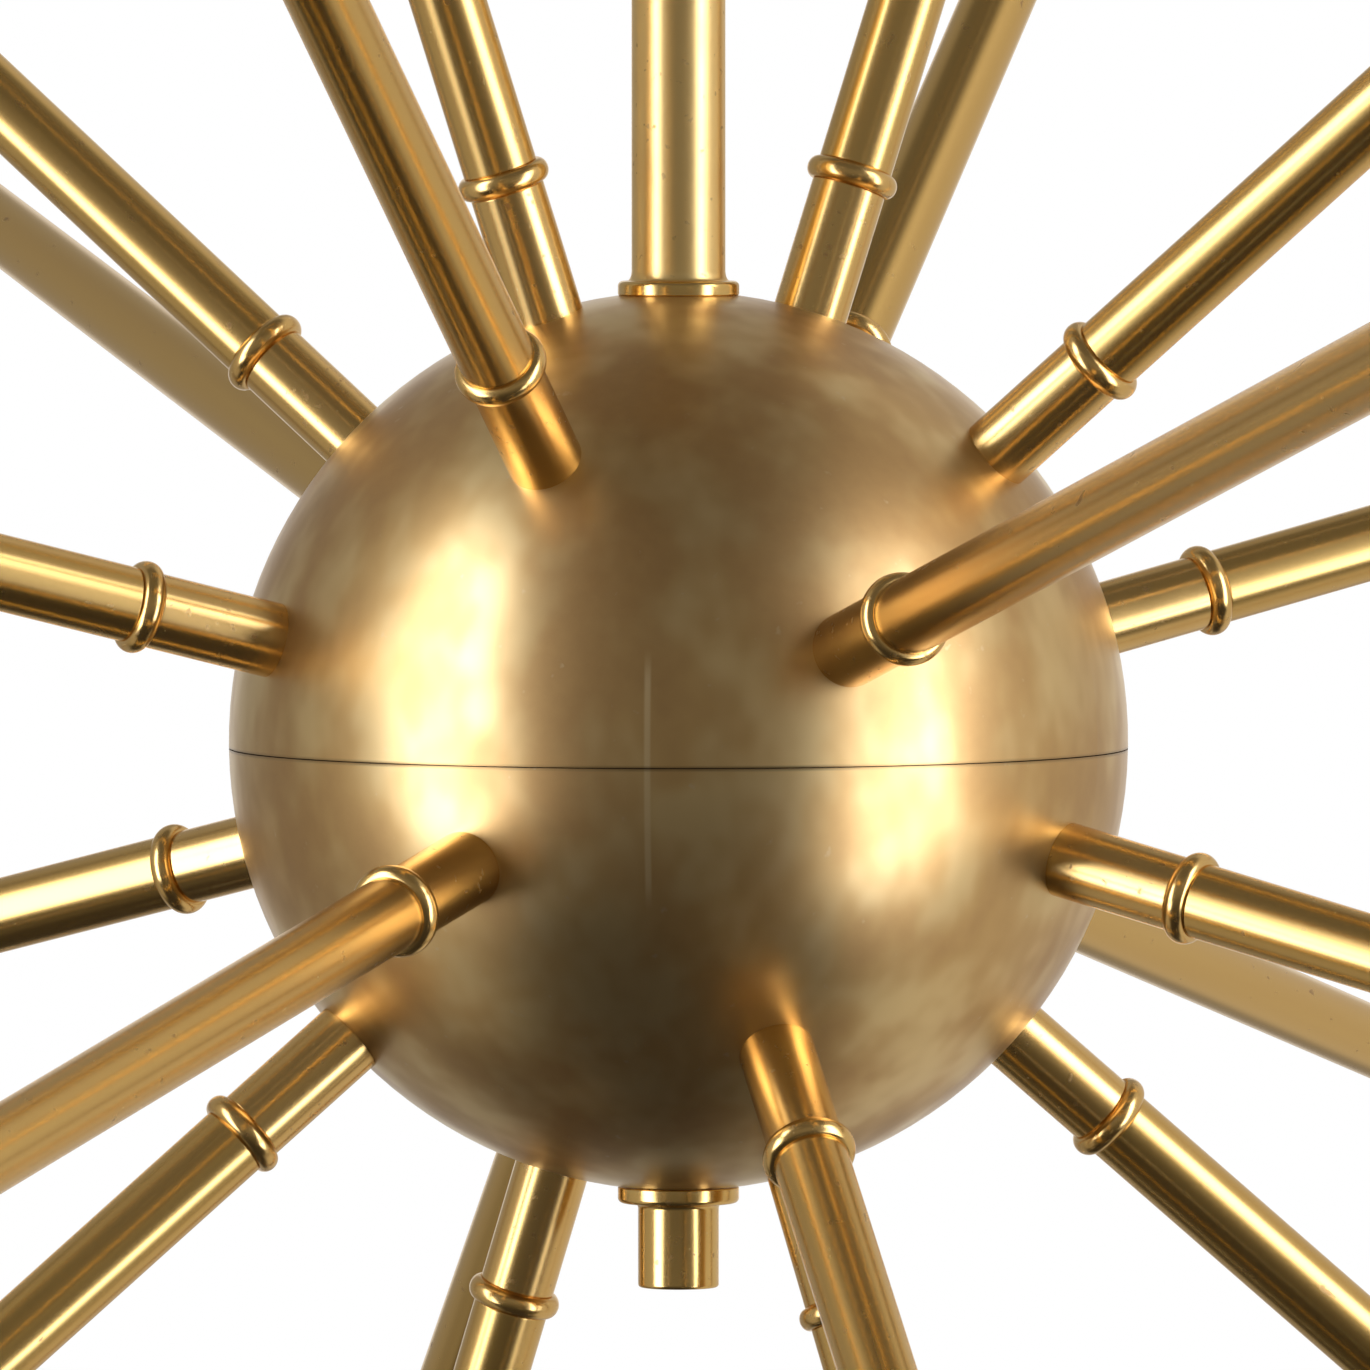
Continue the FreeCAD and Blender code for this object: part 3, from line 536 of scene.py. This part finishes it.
dress(brass_ball, "ball_upper_shell", "ball_lower_shell")
dress(brass_bright, "swivel_upper_fork", "swivel_lower_fork", "swivel_block", "canopy_collar")
dress(brass_stem, "canopy")
dress(steel, "ceiling_bracket", "swivel_lock_nut", "earth_screw", "swivel_short_pins", "swivel_long_pin")
dress(steel, "rod_nut", "inner_washer", "arm_lock_nuts", "arm_nipples", "centre_rod", "collar_grub_screw")
dress(steel, "terminal_screws")
dress(white_moulding, "terminal_block", "junction_block")
dress(black_sheath, "supply_lead")
dress(white_sheath, "arm_leads")


# ---------------------------------------------------------------- arms


def tube_profile():
    """Arm tube: outer wall, bore and lightly broken ends."""
    outer, inner = arm_diameter / 2, arm_bore / 2
    corners = [(outer, tube_start), (outer, tube_end), (inner, tube_end), (inner, tube_start)]
    return outline([(*corner, broken_edge) for corner in corners])


def sleeve_profile():
    """Distance tube with its foot on the ball's curve and a broken edge at the bead ring."""
    outer, inner = arm_diameter / 2, passing_bore / 2
    foot_outer = math.sqrt(ball_radius**2 - outer**2)
    foot_inner = math.sqrt(ball_radius**2 - inner**2)
    return outline(
        [(outer, foot_outer), (outer, bead_start, broken_edge), (inner, bead_start), (inner, foot_inner)]
    )


def bead_profile():
    """Ring whose outside is half an ellipse in section: radius = arm radius + rise * cos(t), height = middle
    of the ring + half its width * sin(t)."""
    rise = (bead_diameter - arm_diameter) / 2
    t = np.linspace(-math.pi / 2, math.pi / 2, 19)
    radius = arm_diameter / 2 + rise * np.cos(t)
    height = bead_from_centre + bead_width / 2 * np.sin(t)
    inner = passing_bore / 2
    bore = [[inner, height[-1]], [inner, height[0]]]
    return np.vstack([np.stack([radius, height], axis=1), bore])


def add_arms():
    tube = turned(tube_profile())
    for number, (node, way) in enumerate(zip(tube_nodes, arm_ways), start=1):
        points, blocks, own = on_arms(tube, [way])
        own = own + [0, 0, number]
        name = "tube_%02d" % number
        piece(name, points, blocks, brass_tube, own=own, replaces=[node])
    for name, node, profile in (
        ("sleeves", "arm_sleeves", sleeve_profile()),
        ("beads", "bead_rings", bead_profile()),
    ):
        points, blocks, own = on_arms(turned(profile), arm_ways)
        piece(name, points, blocks, brass_bright_arm, own=own, replaces=[node])


add_arms()


# ---------------------------------------------------------------- stem, flange washers and finial


def stem_profile(foot, top):
    """Stem tube. Its foot flares by a hollow quarter ellipse: radius = stem radius + width * (1 - sin t),
    height = foot + height * (1 - cos t), for t from 0 to a quarter turn."""
    outer, inner = stem_diameter / 2, stem_bore / 2
    t = np.linspace(0, math.pi / 2, 13)
    flare = [outer + stem_flare_width * (1 - np.sin(t)), foot + stem_flare_height * (1 - np.cos(t))]
    shading_stop = foot + 3 * stem_flare_height  # keeps the shading of the flare off the straight tube
    straight = [[outer, shading_stop], [outer, top], [inner, top], [inner, foot]]
    return np.vstack([np.stack(flare, axis=1), straight])


def flange_profile(bore, far):
    """Washer on the ball, for a ball's centre at height 0. Far is the height of its far side, which is well
    rounded, and is negative below the ball. Its side on the ball is dished to the ball's curve: height =
    sqrt((ball radius + gap)^2 - radius^2)."""
    outer, inner = flange_diameter / 2, bore / 2
    corner = outer - flange_round
    radii = np.linspace(inner, outer - flange_broken_edge, 9)
    dish = np.sqrt((ball_radius + flange_gap) ** 2 - radii**2)
    t = np.linspace(0, math.pi / 2, 9)
    rim = [corner + flange_round * np.cos(t), abs(far) - flange_round * (1 - np.sin(t))]
    height = np.concatenate([dish, [dish[-1] + flange_broken_edge], rim[1], [abs(far)]])
    radius = np.concatenate([radii, [outer], rim[0], [inner]])
    return np.stack([radius, math.copysign(1, far) * height], axis=1)


def finial_profile(foot, top):
    """Finial with a blind hole from above. It is rounded at its foot and flares at its top by a hollow
    quarter circle."""
    outer, inner = finial_diameter / 2, finial_bore / 2
    t = np.linspace(0, math.pi / 2, 9)
    flare = [outer + finial_flare * (1 - np.cos(t)), top - finial_flare * (1 - np.sin(t))]
    below = outline([(0, foot), (outer, foot, finial_edge), (outer, top - finial_flare)], closed=False)
    floor = foot + finial_wall_below_thread
    return np.vstack([below[:-1], np.stack(flare, axis=1), [[inner, top], [inner, floor], [0, floor]]])


def add_axis_pieces():
    """Stem, flange washers and finial, each between the foot and the top of its construction piece."""

    def ends(node):
        low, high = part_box(node)
        return low[2], high[2]

    def flange(bore, far):
        return flange_profile(bore, far - ball_centre.z) + [0, ball_centre.z]

    stem = stem_profile(*ends("stem"))
    top_flange = flange(top_flange_bore, ends("top_flange_washer")[1])
    finial_flange = flange(finial_flange_bore, ends("finial_washer")[0])
    finial = finial_profile(*ends("finial"))
    for name, node, body, shape, material in (
        ("stem_tube", "stem", "hanging", turned(stem), brass_stem),
        ("top_flange", "top_flange_washer", "hanging", turned(top_flange), brass_bright),
        ("finial_flange", "finial_washer", "washer", turned(finial_flange), brass_bright),
        ("finial_nut", "finial", "finial", turned(finial, closed=False), brass_bright),
    ):
        points, blocks = shape
        piece(name, points, blocks, material, body=body, replaces=[node])


add_axis_pieces()


# ---------------------------------------------------------------- lamp ends


def cup_profile():
    """Turned cup: a neck, a bell-shaped flare and a straight barrel with a rolled mouth. Along the flare the
    radius rises as a quarter of a sine of t, and the height as t^1.5, for t from 0 to 1."""
    neck, outer = cup_neck_diameter / 2, cup_diameter / 2
    inner = outer - cup_wall
    flare_start = cup_start + cup_neck_length
    t = np.linspace(0, 1, 17)

    def flare(wide, start, length):
        radius = neck + (wide - neck) * np.sin(t * math.pi / 2)
        return np.stack([radius, start + length * t**1.5], axis=1)

    outside = flare(outer, flare_start, cup_flare_length)
    inside = flare(inner, flare_start + cup_wall, cup_flare_length - cup_wall)
    bore = arm_diameter / 2
    shoulder = cup_mouth - cup_mouth_edge
    parts = [
        [[bore, cup_start], [neck - cup_neck_edge, cup_start], [neck, cup_start + cup_neck_edge]],
        outside,
        [[outer, shoulder], [outer - cup_wall / 2, cup_mouth], [inner, shoulder]],
        inside[::-1],
        [[bore, flare_start + cup_wall]],
    ]
    return np.vstack([np.array(part, dtype=float) for part in parts])


def holder_profile():
    """Lamp holder: a boss round the end of the tube and a body with a socket for the bulb's cap."""
    boss, body = holder_boss_diameter / 2, holder_diameter / 2
    socket = bulb_cap_diameter / 2 + socket_play
    shoulder = holder_start + holder_boss_length
    return outline(
        [
            (arm_diameter / 2, holder_start),
            (boss, holder_start, 0.0004),
            (boss, shoulder),
            (body, shoulder, 0.0006),
            (body, holder_end, 0.0012),
            (socket, holder_end, 0.0005),
            (socket, bulb_cap_start),
            (holder_contact_hole_radius, bulb_cap_start),
            (holder_contact_hole_radius, tube_end),
            (arm_diameter / 2, tube_end),
        ]
    )


def bulb_profile():
    """Round bulb: a neck that runs into the globe. Points on the globe are its middle plus its radius times
    (sin, -cos) of the turn from below. The neck's side joins it where it touches."""
    globe, neck = bulb_diameter / 2, bulb_neck_diameter / 2
    middle_height = bulb_glass_start + bulb_glass_length - globe
    below = middle_height - bulb_glass_start
    touch = math.atan2(neck, below) + math.acos(globe / math.hypot(neck, below))
    turn = np.linspace(touch, math.pi, 40)
    ball = np.stack([globe * np.sin(turn), middle_height - globe * np.cos(turn)], axis=1)
    ball[-1, 0] = 0.0
    edge = [[neck - bulb_neck_edge, bulb_glass_start], [neck, bulb_glass_start + bulb_neck_edge]]
    return np.vstack([[[0.0, bulb_glass_start]], edge, ball])


def cap_profile():
    """Screw cap with a rolled thread: its radius swings with height like a sine."""
    height = np.linspace(bulb_cap_start, bulb_glass_start, 60)
    turns = (height - bulb_cap_start) / bulb_thread_pitch
    thread = bulb_thread_depth * (0.5 + 0.5 * np.cos(turns * 2 * math.pi))
    wall = np.stack([bulb_cap_diameter / 2 - thread, height], axis=1)
    return np.vstack([[[0.0, bulb_cap_start]], wall, [[0.0, bulb_glass_start]]])


def add_lamp_ends():
    cup = turned(cup_profile(), facets=72)
    holder = turned(holder_profile(), facets=64)
    globe = turned(bulb_profile(), facets=72, closed=False)
    cap = turned(cap_profile(), facets=48, closed=False)
    for name, node, shape, material, slot in (
        ("cups", "lamp_cups", cup, brass_bright_arm, "satin_brass"),
        ("holders", "lamp_holders", holder, black_moulding, "black_phenolic"),
        ("bulb_globes", "bulbs", globe, opal, "opal_globe"),
        ("bulb_screw_caps", "bulb_caps", cap, nickel, "nickel_cap"),
    ):
        points, blocks, own = on_arms(shape, arm_ways)
        piece(name, points, blocks, material, own=own, replaces=[node])


add_lamp_ends()


# ---------------------------------------------------------------- camera, light and floor


photo_size = 1370  # pixels, as are the ball's radius and centre below
camera_azimuth = math.radians(22.6)  # from the front towards +X, in the photograph
camera_elevation = math.radians(2.6)
camera_distance = 2.4
ball_radius_px = 449.7
ball_centre_px = (678.5, 741.2)
sensor_width = 36.0

away = Vector((math.sin(camera_azimuth), -math.cos(camera_azimuth), 0))
rightward = Vector((math.cos(camera_azimuth), math.sin(camera_azimuth), 0))


def add_camera():
    """Camera at the photograph's viewing angle. The focal length in pixels makes the ball's outline as
    large as it is there: pixels = focal length * radius / sqrt(distance^2 - radius^2)."""
    focal_px = ball_radius_px * math.sqrt(camera_distance**2 - ball_radius**2) / ball_radius
    back = away * math.cos(camera_elevation) + Vector((0, 0, math.sin(camera_elevation)))
    up = back.cross(rightward)
    to_right = (photo_size / 2 - ball_centre_px[0]) / focal_px * camera_distance
    to_top = (ball_centre_px[1] - photo_size / 2) / focal_px * camera_distance
    target = ball_centre + rightward * to_right + up * to_top
    camera = bpy.data.objects.new("camera", bpy.data.cameras.new("camera"))
    scene.collection.objects.link(camera)
    camera.data.sensor_width = sensor_width
    camera.data.lens = focal_px / photo_size * sensor_width
    camera.location = ball_centre + back * camera_distance
    camera.rotation_mode = "QUATERNION"
    camera.rotation_quaternion = (target - camera.location).to_track_quat("-Z", "Y")
    camera.data.clip_start = 0.1
    camera.data.clip_end = 100.0
    scene.camera = camera


def add_world():
    """Studio round the object, as a function of the direction's azimuth from the camera's side (right is
    positive) and of its elevation, both in radians. Two tall lamps stand left and right of the camera, with
    pale walls beside and behind the object. The backdrop straight behind it is white, and the rest is dim.
    The camera itself sees plain white."""
    world = bpy.data.worlds.new("studio")
    scene.world = world
    world.use_nodes = True
    nodes = Nodes(world.node_tree)
    way = nodes.add("TexCoord", out=0)
    front = nodes.dot(way, away)
    side = nodes.dot(way, rightward)
    height = nodes.add("SeparateXYZ", {}, {0: way}, out=2)
    azimuth = side.math("ARCTAN2", side, front)
    elevation = height.math("ARCSINE", height)

    def window(value, low, high, soft):
        """1 between two angles in degrees, 0 outside them, with edges this many degrees soft."""
        low, high, soft = math.radians(low), math.radians(high), math.radians(soft)
        return value.step(low - soft, low + soft) * (1 - value.step(high - soft, high + soft))

    left_lamp = window(azimuth + elevation * 0.2, -74, -49, 2) * window(elevation, -22, 42, 4)
    right_lamp = window(azimuth - elevation * 0.15, 49, 75, 2) * window(elevation, -28, 40, 4)
    left_wall = window(azimuth, -112, -72, 8) * window(elevation, -58, 58, 8)
    right_wall = window(azimuth, 76, 162, 10) * window(elevation, -62, 55, 10)
    rear_wall = (front * -1.0).step(0.3, 0.5) * window(elevation, -48, 60, 3)
    backdrop = (front * -1.0).step(0.90, 0.95)
    stops = [  # of the dim rest, from straight below to straight above
        (0.0, (0.042, 0.038, 0.034)),
        (0.15, (0.05, 0.046, 0.04)),
        (0.40, (0.13, 0.12, 0.105)),
        (0.50, (0.20, 0.19, 0.17)),
        (0.70, (0.22, 0.21, 0.19)),
        (0.86, (0.14, 0.13, 0.115)),
        (1.0, (0.15, 0.14, 0.125)),
    ]
    studio = nodes.add("ValToRGB", {"stops": stops}, {0: height * 0.5 + 0.5})
    lamp = (5.4, 5.6, 6.2)
    for share, colour in (
        (rear_wall, (0.34, 0.33, 0.31)),
        (left_wall, (0.42, 0.40, 0.36)),
        (right_wall, (0.62, 0.59, 0.54)),
        (backdrop, (0.95, 0.95, 0.95)),
        (left_lamp, lamp),
        (right_lamp, lamp),
    ):
        studio = nodes.blend(share, studio, colour)
    seen = nodes.add("LightPath", out=0)
    colour = nodes.blend(seen, studio, (1.0, 1.0, 1.0))
    background = nodes.add("Background", {}, {"Color": colour, "Strength": 1.0})
    nodes.add("OutputWorld", {}, {"Surface": background})


def add_floor():
    """Pale floor well below the chandelier. The camera sees it nearly white near the middle and quite white
    further out, and sees through it from below."""
    drop, reach = 2.4, 15.0
    white_near, fade_start, fade_end = 0.75, 2.0, 13.0
    mesh = bpy.data.meshes.new("floor")
    sides = [(-1, -1), (1, -1), (1, 1), (-1, 1)]
    mesh.from_pydata([(reach * x, reach * y, -drop) for x, y in sides], [], [(0, 1, 2, 3)])
    floor = bpy.data.objects.new("floor", mesh)
    scene.collection.objects.link(floor)
    floor.visible_glossy = False
    floor.visible_diffuse = False
    material, nodes = new_material("pale_floor")
    diffuse = nodes.add("BsdfDiffuse", {}, {"Color": (0.8, 0.8, 0.8, 1.0)})
    white = nodes.add("Emission", {}, {"Color": (1.0, 1.0, 1.0, 1.0), "Strength": 1.0})
    clear = nodes.add("BsdfTransparent")
    seen = nodes.add("LightPath", out=0)
    under = nodes.add("NewGeometry", out=6)
    flat = nodes.scaled(nodes.object_place(), (1.0, 1.0, 0.0))
    distance = nodes.add("VectorMath", {"operation": "LENGTH"}, {0: flat}, out=1)
    share = white_near + distance.step(fade_start, fade_end) * (1 - white_near)
    shown = nodes.add("MixShader", {}, {0: seen * share, 1: diffuse, 2: white})
    surface = nodes.add("MixShader", {}, {0: under, 1: shown, 2: clear})
    nodes.add("OutputMaterial", {}, {"Surface": surface})
    mesh.materials.append(material)


add_camera()
add_world()
add_floor()
scene.view_settings.view_transform = "Standard"
